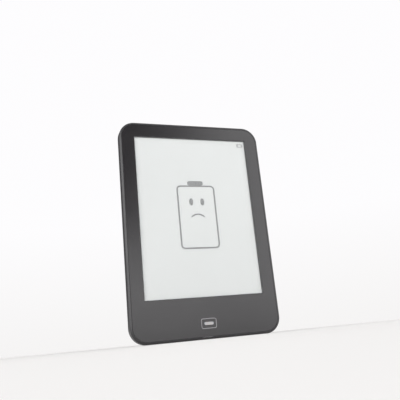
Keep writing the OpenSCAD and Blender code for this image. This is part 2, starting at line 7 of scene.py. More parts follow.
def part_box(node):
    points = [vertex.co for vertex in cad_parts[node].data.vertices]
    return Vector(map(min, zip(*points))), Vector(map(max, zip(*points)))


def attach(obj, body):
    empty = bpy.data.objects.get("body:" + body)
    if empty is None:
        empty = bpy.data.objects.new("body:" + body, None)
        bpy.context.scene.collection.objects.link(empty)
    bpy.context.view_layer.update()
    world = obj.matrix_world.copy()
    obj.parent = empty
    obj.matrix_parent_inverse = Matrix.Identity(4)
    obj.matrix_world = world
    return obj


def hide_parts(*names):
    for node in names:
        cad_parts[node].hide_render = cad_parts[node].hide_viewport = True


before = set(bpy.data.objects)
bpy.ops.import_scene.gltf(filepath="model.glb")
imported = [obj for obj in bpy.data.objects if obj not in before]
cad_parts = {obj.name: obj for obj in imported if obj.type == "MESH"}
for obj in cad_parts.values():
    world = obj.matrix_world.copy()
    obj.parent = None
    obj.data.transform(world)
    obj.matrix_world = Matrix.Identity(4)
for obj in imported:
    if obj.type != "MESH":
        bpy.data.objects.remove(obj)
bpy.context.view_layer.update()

# An e-reader that stands on its bottom edge and faces -Y. Pieces are modelled in millimetres,
# at the places that the frame gives, and finish_piece() brings each one to metres.
MM = 0.001
X, Y, Z = range(3)

# How far apart two lengths may be and still count as one, and how squarely a face that looks
# along an axis has to face that way
NEAR = 0.02
SQUARE_ON = 0.9
# Corners nearer than this are merged, and a cutter runs this far past what it cuts
MERGE = 0.001
PAST = 1.0
# Edges that turn by less than this are shaded as one smooth face
SMOOTH_TURN = math.radians(50)

# Rear cover
CORNER_R = 12.0
WALL = 1.6
BACK_WALL = 1.2
EDGE_R = 1.6
LIP_W = 1.35
LIP_DEPTH = 0.7
LIP_SOFTNESS = 0.14
RIM_SOFTNESS = 0.07
FLOOR_FILLET = 0.5
HOLE_FLARE = 0.12
HOOK_ROWS = (30.0, 75.0, 120.0, 136.0)
HOOK_LENGTH = 8.0
HOOK_REACH = 0.45
HOOK_HEIGHT = 1.0
HOOK_FROM_BACK = 3.0

# Keys, in their slots in the top edge
KEY_GAP = 0.1
KEY_FLANGE = 1.0
KEY_FLANGE_T = 0.8
KEY_REST_GAP = 0.05
KEY_ROUND = 0.3
NUB_W = 3.0
NUB_T = 1.2
NUB_BITE = 0.1

# Ports in the bottom edge
USB_GAP = 0.25
USB_HOLE_R = 0.8
USB_SKIN = 0.3
USB_CORNER = 0.7
USB_TONGUE_W = 4.4
USB_TONGUE_T = 0.6
USB_TONGUE_BITE = 0.2
USB_BACK_T = 0.8
CONTACTS = 5
CONTACT_PITCH = 0.65
CONTACT_W = 0.38
CONTACT_T = 0.08
CONTACT_START = 0.4
RESET_X = 16.0
RESET_Y = 0.85
RESET_R = 0.6
PIPE_GAP = 0.05

# Front bezel
HOME_CORNER = 1.5
HOME_LINE = 0.5
BEZEL_EDGE = 0.1
WINDOW_CORNER = 0.3

# Clear sheets of the display, with the air that is left between them
SHEET_AIR = 0.03
SHEET_EDGE = 0.04
COVER_CORNER = 0.3
FILM_CORNER = 1.0

# Picture area of the e-paper, and the picture that it shows
PICTURE_MARGIN = 1.3
PICTURE_FOOT = 2.4
INK_T = 0.015
BATTERY_W = 31.0
BATTERY_H = 49.5
BATTERY_R = 3.5
BATTERY_LINE = 1.3
BATTERY_DROP = 1.25
CAP_W = 12.8
CAP_H = 3.5
CAP_R = 1.6
EYE_W = 3.2
EYE_H = 5.8
EYE_SPREAD = 4.5
EYE_UP = 10.3
MOUTH_W = 9.8
MOUTH_RISE = 1.9
MOUTH_TOP = 0.6
MOUTH_LINE = 1.1
ARC_START = 0.001

# Small battery sign in the corner of the screen: the place, width, height and corner radius
# of each of its marks, across and up from the middle of the picture area
SIGN_CASE = (41.2, 57.8, 4.6, 2.8, 0.5)
SIGN_LINE = 0.5
SIGN_POLE = (43.8, 57.8, 0.6, 1.2, 0.2)
SIGN_CHARGE = (39.7, 57.8, 0.7, 1.4, 0.1)

# The part of a noise pattern's range that becomes the whole range of a mask: the narrower it
# is, the harder the mask
HARD = (0.35, 0.65)
SOFT = (0.3, 0.7)
# Cosine of the turn at an edge where the wear and the painted highlight along it start, and where
# they are full
EDGE_TURN = (0.995, 0.85)
# Size of an e-paper capsule, in metres
CAPSULE = 0.00012

# Main board: the size of a region with tracks of its own, and the pitch of tracks and vias,
# in metres. A track's width and a via's radius are shares of their pitch.
BOARD_REGION = 0.008
TRACK_PITCH = 0.0007
TRACK_SHARE = 0.45
VIA_PITCH = 0.003
VIA_SHARE = 0.11

# Camera: its place from the middle of the window, in millimetres, the way that it looks, in
# degrees, and its lens
CAMERA_OFFSET = Vector((-128.6, -344.6, -89.4))
CAMERA_AZIMUTH = 20.8
CAMERA_ELEVATION = 15.3
CAMERA_ROLL = -5.6
CAMERA_LENS = 45.1
CAMERA_SENSOR = 36.0

# White tent round the studio: its light, and the tones that the camera sees from the floor up
TENT_LIGHT = (0.82, 0.815, 0.82, 1)
TENT_FOOT = (0.915, 0.905, 0.9, 1)
TENT_TOP = (0.985, 0.978, 0.99, 1)
TENT_RISE = 0.22

# Lamps and dark panels round the reader: azimuth and elevation in degrees, then distance,
# width and height in metres, and a lamp's brightness
LAMPS = {
    "right_wall": (48, 14, 1.3, 1.2, 1.1, 2.2),
    "left_wall": (-52, 14, 1.3, 1.15, 1.1, 3.3),
    "front_step": (5, 3, 1.3, 0.8, 0.36, 2.4),
}
DARK_PANELS = {
    "tent_opening": (-8, 40, 1.2, 1.1, 1.2),
    "back_flag": (-168, 14, 1.2, 0.75, 1.0),
}

# Floor of the studio, in metres, and its glow, which grows from FLOOR_NEAR to FLOOR_FAR
FLOOR_RADIUS = 0.75
FLOOR_NEAR = 0.1
FLOOR_FAR = 0.6
FLOOR_TONE = (0.858, 0.848, 0.838, 1)
FAR_GLOW = (0.22, 0.215, 0.212, 1)


def box_mm(node):
    """Lowest and highest corner of a CAD node, in millimetres."""
    return [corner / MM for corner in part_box(node)]


body_low, body_high = box_mm("rear_cover")
bezel_low, bezel_high = box_mm("front_bezel")
window_low, window_high = box_mm("screen_cover")
film_low, film_high = box_mm("epaper_film")
scene = bpy.context.scene


# ---------------------------------------------------------------- working by hand, in code


def deselect_all():
    if bpy.context.mode != "OBJECT":
        bpy.ops.object.mode_set(mode="OBJECT")
    bpy.ops.object.select_all(action="DESELECT")


def only(obj):
    """Makes obj the one selected and active object, in object mode."""
    deselect_all()
    obj.select_set(True)
    bpy.context.view_layer.objects.active = obj


def mark(obj, kind, test):
    """Enters edit mode with only what passes test selected.
    The test gets a face's middle and normal, an edge's two ends, or a corner's place."""
    only(obj)
    mesh = obj.data
    places = [vertex.co.copy() for vertex in mesh.vertices]
    items = {"VERT": mesh.vertices, "EDGE": mesh.edges, "FACE": mesh.polygons}
    asked = {
        "VERT": lambda vertex: test(vertex.co),
        "EDGE": lambda edge: test(*(places[i] for i in edge.vertices)),
        "FACE": lambda face: test(face.center, face.normal),
    }[kind]
    wanted = [bool(asked(item)) for item in items[kind]]
    for group in items.values():
        group.foreach_set("select", [False] * len(group))
    items[kind].foreach_set("select", wanted)
    scene.tool_settings.mesh_select_mode = [kind == name for name in items]
    bpy.ops.object.mode_set(mode="EDIT")


def near(a, b):
    return abs(a - b) < NEAR


def runs_along(axis):
    """Test for an edge that runs along an axis."""
    others = [i for i in (X, Y, Z) if i != axis]
    return lambda a, b: all(near(a[i], b[i]) for i in others)


def faces_to(axis, way):
    """Test for a face that looks along an axis."""
    return lambda middle, normal: normal[axis] * way > SQUARE_ON


def shift(axis, amount):
    """A move along one axis."""
    step = Vector()
    step[axis] = amount
    return step


def bevel(width, steps):
    """Rounds the selected edges."""
    bpy.ops.mesh.bevel(offset=width, segments=steps, affect="EDGES", clamp_overlap=True)


def extrude(step):
    """Draws the selected faces out by a step."""
    bpy.ops.mesh.extrude_region_move(TRANSFORM_OT_translate={"value": step})


def block(name, low, high):
    """A box between two corners, as the start of a piece."""
    deselect_all()
    low, high = Vector(low), Vector(high)
    bpy.ops.mesh.primitive_cube_add(size=1, location=(low + high) / 2, scale=high - low)
    obj = bpy.context.object
    obj.name = name
    bpy.ops.object.transform_apply(location=True, rotation=True, scale=True)
    return obj


def slab(name, low, high, radius, axis, steps=12):
    """A box whose corners are round when it is seen along an axis."""
    obj = block(name, low, high)
    mark(obj, "EDGE", runs_along(axis))
    bevel(radius, steps)
    bpy.ops.mesh.select_all(action="SELECT")
    bpy.ops.mesh.remove_doubles(threshold=MERGE)
    return obj


def soften(obj, width, steps, test):
    """Bevels the edges that pass test."""
    mark(obj, "EDGE", test)
    bevel(width, steps)


def cut(obj, tool, operation="DIFFERENCE"):
    """Cuts a tool out of obj, or joins it on, and throws the tool away."""
    only(obj)
    modifier = obj.modifiers.new("cut", "BOOLEAN")
    modifier.operation = operation
    modifier.solver = "EXACT"
    modifier.object = tool
    bpy.ops.object.modifier_apply(modifier=modifier.name)
    bpy.data.objects.remove(tool)


def hole_tool(low, high, radius, axis, out, flare=HOLE_FLARE):
    """A cutter for a hole with round corners, whose mouth widens at the surface, where the box
    ends. It looks out of the piece along an axis."""
    low, high = Vector(low), Vector(high)
    tool = slab("hole_tool", low, high, radius, axis)
    mark(tool, "FACE", faces_to(axis, out))
    bpy.ops.transform.translate(value=shift(axis, -out * flare))
    extrude(shift(axis, out * flare))
    wider = [1 if i == axis else 1 + 2 * flare / (high - low)[i] for i in (X, Y, Z)]
    bpy.ops.transform.resize(value=wider, center_override=(low + high) / 2)
    extrude(shift(axis, out * PAST))
    return tool


def join(pieces):
    """Joins several objects into the first."""
    deselect_all()
    for piece in pieces:
        piece.select_set(True)
    bpy.context.view_layer.objects.active = pieces[0]
    bpy.ops.object.join()
    return pieces[0]


def finish_piece(obj, body, slot, *nodes):
    """Brings a piece to metres, smooths it, and hangs it on its body in place of some CAD nodes."""
    only(obj)
    obj.scale = (MM, MM, MM)
    bpy.ops.object.transform_apply(location=True, rotation=True, scale=True)
    bpy.ops.object.shade_smooth_by_angle(angle=SMOOTH_TURN)
    flat_faces = obj.modifiers.new("flat_faces", "WEIGHTED_NORMAL")
    flat_faces.keep_sharp = True
    flat_faces.weight = 100
    bpy.ops.object.modifier_apply(modifier=flat_faces.name)
    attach(obj, body)
    if nodes:
        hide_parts(*nodes)
    return obj


# ---------------------------------------------------------------- rear cover


def depth_inside(place):
    """How far a place lies inside the cover's round outline, seen from the front."""
    half = (body_high - body_low) / 2
    middle = (body_high + body_low) / 2
    dx = abs(place.x - middle.x) - half.x + CORNER_R
    dz = abs(place.z - middle.z) - half.z + CORNER_R
    return CORNER_R - math.hypot(max(dx, 0), max(dz, 0)) - min(max(dx, dz), 0)


def on_loop(y, depth):
    """Test for an edge of the loop that lies at a level y and a depth inside the outline."""
    return lambda a, b: all(near(p.y, y) and near(depth_inside(p), depth) for p in (a, b))


def open_front(shell):
    """Insets the front face for the lip and its land, sinks the cavity, and slopes the lip."""
    mark(shell, "FACE", faces_to(Y, -1))
    bpy.ops.mesh.inset(thickness=LIP_W)
    bpy.ops.mesh.inset(thickness=WALL - LIP_W)
    extrude(shift(Y, body_high.y - body_low.y - BACK_WALL))
    mark(shell, "VERT", lambda p: near(p.y, body_low.y) and near(depth_inside(p), 0))
    bpy.ops.transform.translate(value=shift(Y, LIP_DEPTH))


def round_cover_edges(shell):
    """Rounds the back edge, the slope's two edges, the mouth and the floor of the cavity."""
    soften(shell, EDGE_R, 7, on_loop(body_high.y, 0))
    soften(shell, LIP_SOFTNESS, 3, on_loop(body_low.y + LIP_DEPTH, 0))
    soften(shell, RIM_SOFTNESS, 2, on_loop(body_low.y, LIP_W))
    soften(shell, RIM_SOFTNESS, 2, on_loop(body_low.y, WALL))
    soften(shell, FLOOR_FILLET, 3, on_loop(body_high.y - BACK_WALL, WALL))


def cut_key_slots(shell):
    """A slot through the top wall for each key's cap."""
    for node in ("power_key", "light_key"):
        low, high = box_mm(node)
        inside = body_high.z - WALL - PAST
        low = Vector((low.x + KEY_FLANGE - KEY_GAP, low.y - KEY_GAP, inside))
        high = Vector((high.x - KEY_FLANGE + KEY_GAP, high.y + KEY_GAP, body_high.z))
        cut(shell, hole_tool(low, high, (high.y - low.y) / 2, Z, 1))


def cut_port_holes(shell):
    """The holes in the bottom wall for the socket, the reset pin and the charge light."""
    inside = WALL + PAST
    low, high = box_mm("usb_socket")
    grow = Vector((USB_GAP, USB_GAP, 0))
    low = low - grow
    high = high + grow
    low.z, high.z = 0, inside
    cut(shell, hole_tool(low, high, USB_HOLE_R, Z, -1))
    pipe_low, pipe_high = box_mm("charge_light_pipe")
    pipe = (pipe_low + pipe_high) / 2
    pipe_r = (pipe_high.x - pipe_low.x) / 2 + PIPE_GAP
    for x, y, radius in ((RESET_X, RESET_Y, RESET_R), (pipe.x, pipe.y, pipe_r)):
        low = Vector((x - radius, y - radius, 0))
        high = Vector((x + radius, y + radius, inside))
        cut(shell, hole_tool(low, high, radius, Z, -1, flare=HOLE_FLARE / 2))


def add_hooks(shell):
    """The snap hooks on the two long walls, each a wedge that slopes towards the back."""
    wall_x = body_high.x - WALL
    top_y = body_high.y - HOOK_FROM_BACK
    for z in HOOK_ROWS:
        for side in (-1, 1):
            ends = sorted((side * (wall_x - HOOK_REACH), side * (wall_x + HOOK_REACH)))
            low = (ends[0], top_y - HOOK_HEIGHT, z - HOOK_LENGTH / 2)
            hook = block("hook", low, (ends[1], top_y, z + HOOK_LENGTH / 2))
            tip = side * (wall_x - HOOK_REACH)
            mark(hook, "VERT", lambda p: near(p.x, tip) and near(p.y, top_y - HOOK_HEIGHT))
            bpy.ops.transform.translate(value=shift(Y, HOOK_HEIGHT / 2))
            cut(shell, hook, "UNION")


def make_cover_shell():
    """The soft-touch rear cover, with its rim, slots, holes and hooks."""
    shell = slab("cover_shell", body_low, body_high, CORNER_R, Y, steps=20)
    open_front(shell)
    round_cover_edges(shell)
    cut_key_slots(shell)
    cut_port_holes(shell)
    add_hooks(shell)
    return finish_piece(shell, "housing", "soft_touch_plastic", "rear_cover")


# ---------------------------------------------------------------- front bezel


def home_ring_tool():
    """A cutter the shape of the printed outline round the home bar."""
    low, high = box_mm("home_ring")
    low.y -= PAST
    inset = Vector((HOME_LINE, -PAST, HOME_LINE))
    ring = slab("ring_tool", low, high, HOME_CORNER, Y)
    cut(ring, slab("ring_core", low + inset, high - inset, HOME_CORNER - HOME_LINE, Y))
    return ring


def make_bezel_plate():
    """The flush bezel, with its window and the places of the home mark and the lit bar."""
    corner = CORNER_R - (bezel_low.x - body_low.x)
    plate = slab("bezel_plate", bezel_low, bezel_high, corner, Y, steps=20)
    soften(plate, BEZEL_EDGE, 2, lambda a, b: near(a.y, bezel_low.y) and near(b.y, bezel_low.y))
    low = Vector((window_low.x, bezel_low.y, window_low.z))
    high = Vector((window_high.x, bezel_high.y + PAST, window_high.z))
    cut(plate, hole_tool(low, high, WINDOW_CORNER, Y, -1))
    low, high = box_mm("home_light_pipe")
    low.y, high.y = bezel_low.y - PAST, bezel_high.y + PAST
    cut(plate, slab("pipe_tool", low, high, (high.z - low.z) / 2, Y))
    cut(plate, home_ring_tool())
    return finish_piece(plate, "housing", "bezel_plastic", "front_bezel")


# ---------------------------------------------------------------- keys


def make_key(name, node):
    """A key cap with a round top edge, its flange behind the wall, and the nub that meets
    the switch."""
    low, high = box_mm(node)
    stop = body_high.z - WALL - KEY_REST_GAP
    half = (high.y - low.y) / 2
    foot = stop - KEY_FLANGE_T
    side = Vector((KEY_FLANGE, 0, 0))
    cap_low = low + side
    cap_low.z = foot
    cap = slab(name, cap_low, high - side, half, Z)
    soften(cap, KEY_ROUND, 4, lambda a, b: near(a.z, high.z) and near(b.z, high.z))
    flange_low, flange_high = low.copy(), high.copy()
    flange_low.z, flange_high.z = foot, stop
    cut(cap, slab("flange", flange_low, flange_high, half, Z), "UNION")
    middle = (low + high) / 2
    nub = Vector((NUB_W / 2, NUB_T / 2, 0))
    nub_low, nub_high = middle - nub, middle + nub
    nub_low.z, nub_high.z = low.z, foot + NUB_BITE
    cut(cap, block("nub", nub_low, nub_high), "UNION")
    return finish_piece(cap, node, "key_plastic", node)


# ---------------------------------------------------------------- USB socket


def make_usb_shell():
    """A folded sheet-metal sleeve, open at both ends, with its two front corners cut back more."""
    low, high = box_mm("usb_socket")
    shell = block("usb_shell", low, high)
    along_z = runs_along(Z)
    soften(shell, USB_CORNER, 5, lambda a, b: along_z(a, b) and near(a.y, low.y))
    soften(shell, USB_CORNER / 2, 5, lambda a, b: along_z(a, b) and near(a.y, high.y))
    mark(shell, "FACE", lambda middle, normal: abs(normal.z) > SQUARE_ON)
    bpy.ops.mesh.delete(type="FACE")
    only(shell)
    skin = shell.modifiers.new("skin", "SOLIDIFY")
    skin.thickness = USB_SKIN
    skin.offset = -1
    skin.use_even_offset = True
    bpy.ops.object.modifier_apply(modifier=skin.name)
    middle_z = (low.z + high.z) / 2
    soften(shell, USB_SKIN / 5, 2, lambda a, b: near(a.z, b.z) and not near(a.z, middle_z))
    return finish_piece(shell, "housing", "shield_metal", "usb_socket")


def make_usb_insert():
    """The black insert: its back wall, and the tongue with a chamfered nose."""
    low, high = box_mm("usb_tongue")
    back = high.z - USB_BACK_T
    wall = slab("usb_insert", (low.x, low.y, back), high, USB_SKIN, Z, steps=4)
    middle_y = (low.y + high.y) / 2
    nose = (-USB_TONGUE_W / 2, middle_y - USB_TONGUE_T, low.z)
    tongue = block("tongue", nose, (USB_TONGUE_W / 2, middle_y, back + USB_TONGUE_BITE))
    soften(tongue, USB_TONGUE_T / 5, 2, lambda a, b: near(a.z, low.z) and near(b.z, low.z))
    cut(wall, tongue, "UNION")
    return finish_piece(wall, "housing", "chip_black", "usb_tongue")


def make_usb_contacts():
    """Five sprung contacts along the tongue. No slot of the frame is gold, so they go in the
    one that is nearest in colour."""
    low, high = box_mm("usb_tongue")
    face_y = (low.y + high.y) / 2
    contacts = []
    for i in range(CONTACTS):
        x = (i - (CONTACTS - 1) / 2) * CONTACT_PITCH
        start = (x - CONTACT_W / 2, face_y - CONTACT_T, low.z + CONTACT_START)
        end = (x + CONTACT_W / 2, face_y + CONTACT_T, high.z - USB_BACK_T)
        contact = block("contact", start, end)
        soften(contact, CONTACT_T / 2, 2, lambda a, b: near(a.y, b.y) and a.y > face_y)
        contacts.append(contact)
    row = join(contacts)
    row.name = "usb_contacts"
    return finish_piece(row, "housing", "lamp_yellow")


# ---------------------------------------------------------------- clear sheets


def make_sheet(name, node, radius, slot):
    """A clear sheet with softened edges, a breath smaller than the room it has."""
    low, high = box_mm(node)
    air = Vector((SHEET_AIR, SHEET_AIR, SHEET_AIR))
    low, high = low + air, high - air
    sheet = slab(name, low, high, radius, Y, steps=4)
    soften(sheet, SHEET_EDGE, 2, lambda a, b: near(a.y, b.y))
    let_light_through(sheet)
    return finish_piece(sheet, "housing", slot, node)


def let_light_through(sheet):
    """Clear sheets are seen, but they hold back no light from the e-paper behind them."""
    sheet.visible_shadow = False
    sheet.visible_diffuse = False


# ---------------------------------------------------------------- picture on the e-paper


def picture_middle():
    """Middle of the picture area, at the front of the e-paper film."""
    low = film_low + Vector((PICTURE_MARGIN, 0, PICTURE_FOOT))
    high = film_high - Vector((PICTURE_MARGIN, 0, PICTURE_MARGIN))
    return Vector((0, film_low.y, (low.z + high.z) / 2))


def ink_block(name, x, z, width, height, radius, depth=INK_T):
    """A flat mark with round corners, laid on the film and as deep into it as it stands out."""
    middle = picture_middle() + Vector((x, 0, z))
    half = Vector((width / 2, depth, height / 2))
    return slab(name, middle - half, middle + half, radius, Y, steps=8)


def ink_ring(name, x, z, width, height, radius, line):
    """A flat outline with round corners."""
    ring = ink_block(name, x, z, width, height, radius)
    inner_w, inner_h = width - 2 * line, height - 2 * line
    cut(ring, ink_block("core", x, z, inner_w, inner_h, radius - line, depth=2 * INK_T))
    return ring


def ink_oval(name, x, z, width, height):
    """A flat oval, from a disc that is stretched and given its thickness."""
    deselect_all()
    place = picture_middle() + Vector((x, -INK_T, z))
    turned = (math.radians(90), 0, 0)
    bpy.ops.mesh.primitive_circle_add(vertices=40, radius=0.5, fill_type="NGON", rotation=turned)
    oval = bpy.context.object
    oval.name = name
    bpy.ops.object.transform_apply(location=True, rotation=True, scale=True)
    oval.scale = (width, 1, height)
    oval.location = place
    bpy.ops.object.transform_apply(location=True, rotation=True, scale=True)
    mark(oval, "FACE", lambda middle, normal: True)
    extrude(shift(Y, 2 * INK_T))
    bpy.ops.mesh.select_all(action="SELECT")
    bpy.ops.mesh.normals_make_consistent(inside=False)
    return oval


def ink_arc(name, x, z, width, rise, line):
    """A thick arc, spun from one short block, with its round ends added as discs."""
    half = width / 2
    radius = (half * half + rise * rise) / (2 * rise)
    swing = math.asin(half / radius)
    centre = picture_middle() + Vector((x, 0, z - radius))
    start = centre + Vector((0, 0, radius))
    size = Vector((ARC_START, INK_T, line / 2))
    arc = block(name, start - size, start + size)
    mark(arc, "FACE", faces_to(X, 1))
    bpy.ops.mesh.spin(steps=12, angle=swing, center=centre, axis=(0, 1, 0))
    mark(arc, "FACE", lambda middle, normal: normal.x < -SQUARE_ON and near(middle.x, start.x))
    bpy.ops.mesh.spin(steps=12, angle=-swing, center=centre, axis=(0, 1, 0))
    bpy.ops.mesh.select_all(action="SELECT")
    bpy.ops.mesh.normals_make_consistent(inside=False)
    ends = [ink_oval("end", x + side * half, z - rise, line, line) for side in (-1, 1)]
    return join([arc] + ends)


def make_picture():
    """The low-battery picture: a battery outline with its cap and a plain frowning face."""
    top = BATTERY_H / 2 - BATTERY_DROP
    marks = [
        ink_ring("outline", 0, -BATTERY_DROP, BATTERY_W, BATTERY_H, BATTERY_R, BATTERY_LINE),
        ink_block("cap", 0, top + CAP_H / 2, CAP_W, CAP_H, CAP_R),
        ink_oval("left_eye", -EYE_SPREAD, EYE_UP, EYE_W, EYE_H),
        ink_oval("right_eye", EYE_SPREAD, EYE_UP, EYE_W, EYE_H),
        ink_arc("mouth", 0, MOUTH_TOP, MOUTH_W, MOUTH_RISE, MOUTH_LINE),
    ]
    picture = join(marks)
    picture.name = "battery_picture"
    return finish_piece(picture, "housing", "epaper")


def make_status_mark():
    """The small battery sign in the corner of the screen."""
    marks = [
        ink_ring("case", *SIGN_CASE, SIGN_LINE),
        ink_block("pole", *SIGN_POLE),
        ink_block("charge", *SIGN_CHARGE),
    ]
    sign = join(marks)
    sign.name = "status_mark"
    return finish_piece(sign, "housing", "epaper")


# ---------------------------------------------------------------- shared shader groups


def fill(tree, socket, value):
    """Sets a socket, or links it where the value is another node's output."""
    if isinstance(value, bpy.types.NodeSocket):
        tree.links.new(value, socket)
    else:
        socket.default_value = value


def add(tree, kind, inputs=None, **settings):
    """Adds a shader node, with its settings, and fills its inputs by name or number."""
    made = tree.nodes.new("ShaderNode" + kind)
    for label, value in settings.items():
        setattr(made, label, value)
    for label, value in (inputs or {}).items():
        fill(tree, made.inputs[label], value)
    return made


def sum_of(tree, operation, *values):
    """The result of one Math node."""
    return add(tree, "Math", dict(enumerate(values)), operation=operation).outputs[0]


def noise(tree, place, scale, detail):
    """A soft random pattern, from 0 to 1."""
    inputs = {"Vector": place, "Scale": scale, "Detail": detail}
    return add(tree, "TexNoise", inputs).outputs["Fac"]


def between(tree, value, start, end, low=0.0, high=1.0):
    """A value spread from low to high while the given one goes from start to end."""
    inputs = {"Value": value, "From Min": start, "From Max": end, "To Min": low, "To Max": high}
    return add(tree, "MapRange", inputs).outputs["Result"]


def blended(tree, first, second, share):
    """Two values added, the first weighing its share and the second the rest."""
    first = sum_of(tree, "MULTIPLY", first, share)
    return sum_of(tree, "ADD", first, sum_of(tree, "MULTIPLY", second, 1 - share))


def bumped(tree, height, depth, strength=1.0):
    """The normal of a surface that a pattern raises by up to a depth, in metres."""
    bump = {"Height": height, "Distance": depth, "Strength": strength}
    return add(tree, "Bump", bump).outputs["Normal"]


def mixed(tree, share, first, second):
    """One colour turning to another."""
    node = add(tree, "Mix", {"Factor": share}, data_type="RGBA")
    fill(tree, node.inputs["A"], first)
    fill(tree, node.inputs["B"], second)
    return node.outputs["Result"]


def fine_lines(tree, along, pitch, width):
    """A mask of lines square to one coordinate: one each pitch, and as wide as a share of it."""
    part = sum_of(tree, "FRACT", sum_of(tree, "DIVIDE", along, pitch))
    return sum_of(tree, "LESS_THAN", part, width)


def place_on_object(tree, stretch=(1, 1, 1)):
    """Object coordinates, squeezed along an axis where a pattern runs along it."""
    place = add(tree, "TexCoord").outputs["Object"]
    if stretch == (1, 1, 1):
        return place
    return add(tree, "Mapping", {"Vector": place, "Scale": stretch}).outputs["Vector"]


def new_group(name, inputs, outputs):
    """A shader group, with the outputs that feed it and the inputs that it fills."""
    tree = bpy.data.node_groups.new(name, "ShaderNodeTree")
    for label, value in inputs.items():
        kind = "NodeSocketColor" if isinstance(value, tuple) else "NodeSocketFloat"
        socket = tree.interface.new_socket(label, in_out="INPUT", socket_type=kind)
        socket.default_value = value
    for label, kind in outputs.items():
        tree.interface.new_socket(label, in_out="OUTPUT", socket_type="NodeSocket" + kind)
    given = tree.nodes.new("NodeGroupInput").outputs
    result = tree.nodes.new("NodeGroupOutput").inputs
    return tree, given, result


def build_grain():
    """Spark-eroded grain of a moulded surface: fine lumps with a few broader ones."""
    inputs = {"Scale": 5000.0, "Depth": 0.00002}
    tree, given, result = new_group("grain", inputs, {"Grain": "Float", "Normal": "Vector"})
    place = place_on_object(tree)
    fine = noise(tree, place, given["Scale"], 3)
    cells = {"Vector": place, "Scale": sum_of(tree, "MULTIPLY", given["Scale"], 0.6)}
    lumps = add(tree, "TexVoronoi", cells, feature="SMOOTH_F1").outputs["Distance"]
    grain = blended(tree, fine, lumps, 0.6)
    fill(tree, result["Grain"], grain)
    fill(tree, result["Normal"], bumped(tree, grain, given["Depth"]))
    return tree


def build_handling():
    """Where hands have polished a surface and where it is still matt: broad soft smudges."""
    inputs = {"Scale": 40.0, "Low": 0.3, "High": 0.4}
    tree, given, result = new_group("handling", inputs, {"Roughness": "Float"})
    place = place_on_object(tree)
    broad = noise(tree, place, given["Scale"], 3)
    small = noise(tree, place, sum_of(tree, "MULTIPLY", given["Scale"], 9), 2)
    smudge = between(tree, blended(tree, broad, small, 0.7), *HARD)
    fill(tree, result["Roughness"], between(tree, smudge, 0, 1, given["Low"], given["High"]))
    return tree


def build_edge_wear_and_highlight():
    """A lighter tone near the edges: wear where a part rubs on bags, tables and its neighbours, and
    a painted highlight.
    """
    inputs = {
        "Colour": (0.1, 0.1, 0.1, 1),
        "Rubbed": (0.2, 0.2, 0.2, 1),
        "Amount": 0.3,
        "Reach": 0.0003,
    }
    tree, given, result = new_group("edge_wear_and_highlight", inputs, {"Colour": "Color"})
    rounded = add(tree, "Bevel", {"Radius": given["Reach"]}, samples=4).outputs["Normal"]
    straight = add(tree, "NewGeometry").outputs["Normal"]
    turn = add(tree, "VectorMath", {0: rounded, 1: straight}, operation="DOT_PRODUCT")
    sharp = between(tree, turn.outputs["Value"], *EDGE_TURN)
    patches = between(tree, noise(tree, place_on_object(tree), 120, 3), *HARD)
    # Share of the lighter tone at an edge: partly wear, partly a painted highlight
    wear_and_highlight = sum_of(tree, "MULTIPLY", sum_of(tree, "MULTIPLY", sharp, patches), given["Amount"])
    fill(tree, result["Colour"], mixed(tree, wear_and_highlight, given["Colour"], given["Rubbed"]))
    return tree


def build_tone_drift():
    """A colour that drifts a little lighter and darker over a part."""
    inputs = {"Colour": (0.5, 0.5, 0.5, 1), "Scale": 30.0, "Drift": 0.1}
    tree, given, result = new_group("tone_drift", inputs, {"Colour": "Color"})
    wave = between(tree, noise(tree, place_on_object(tree), given["Scale"], 3), *SOFT, -1, 1)
    value = sum_of(tree, "ADD", sum_of(tree, "MULTIPLY", wave, given["Drift"]), 1)
    tone = add(tree, "HueSaturation", {"Value": value, "Color": given["Colour"]})
    fill(tree, result["Colour"], tone.outputs["Color"])
    return tree


def build_rolled_lines():
    """Fine lines left by rolling or brushing a sheet, along its height."""
    inputs = {"Scale": 6000.0, "Depth": 0.000004, "Low": 0.3, "High": 0.45}
    outputs = {"Roughness": "Float", "Normal": "Vector"}
    tree, given, result = new_group("rolled_lines", inputs, outputs)
    lines = noise(tree, place_on_object(tree, (1, 1, 0.02)), given["Scale"], 3)
    fill(tree, result["Roughness"], between(tree, lines, *SOFT, given["Low"], given["High"]))
    fill(tree, result["Normal"], bumped(tree, lines, given["Depth"]))
    return tree


def build_stripes():
    """A mask of fine lines that run along the height, such as the tracks in a flat cable."""
    inputs = {"Pitch": 0.0005, "Width": 0.5}
    tree, given, result = new_group("stripes", inputs, {"Stripe": "Float"})
    x = add(tree, "SeparateXYZ", {"Vector": place_on_object(tree)}).outputs["X"]
    fill(tree, result["Stripe"], fine_lines(tree, x, given["Pitch"], given["Width"]))
    return tree


GROUPS = {
    "grain": build_grain(),
    "handling": build_handling(),
    "edge_wear_and_highlight": build_edge_wear_and_highlight(),
    "tone_drift": build_tone_drift(),
    "rolled_lines": build_rolled_lines(),
    "stripes": build_stripes(),
}


def use(tree, name, **inputs):
    """Places a shared group in a material, with this material's own values."""
    node = tree.nodes.new("ShaderNodeGroup")
    node.node_tree = GROUPS[name]
    for label, value in inputs.items():
        fill(tree, node.inputs[label], value)
    return node.outputs


# ---------------------------------------------------------------- materials


def new_material(name):
    """A material, its node tree and its Principled shader's inputs."""
    material = bpy.data.materials.new(name)
    material.use_nodes = True
    return material, material.node_tree, material.node_tree.nodes["Principled BSDF"].inputs


def opaque(red, green, blue):
    """A colour that nothing shows through."""
    return (red, green, blue, 1)


def coat(tree, shader, colour, smudges, low, high, normal=None):
    """Fills in a shader's colour, its normal, and a roughness that smudges vary from low to
    high. The larger the number for the smudges, the finer they are."""
    touch = use(tree, "handling", Scale=smudges, Low=low, High=high)
    fill(tree, shader["Base Color"], colour)
    fill(tree, shader["Roughness"], touch["Roughness"])
    if normal is not None:
        fill(tree, shader["Normal"], normal)


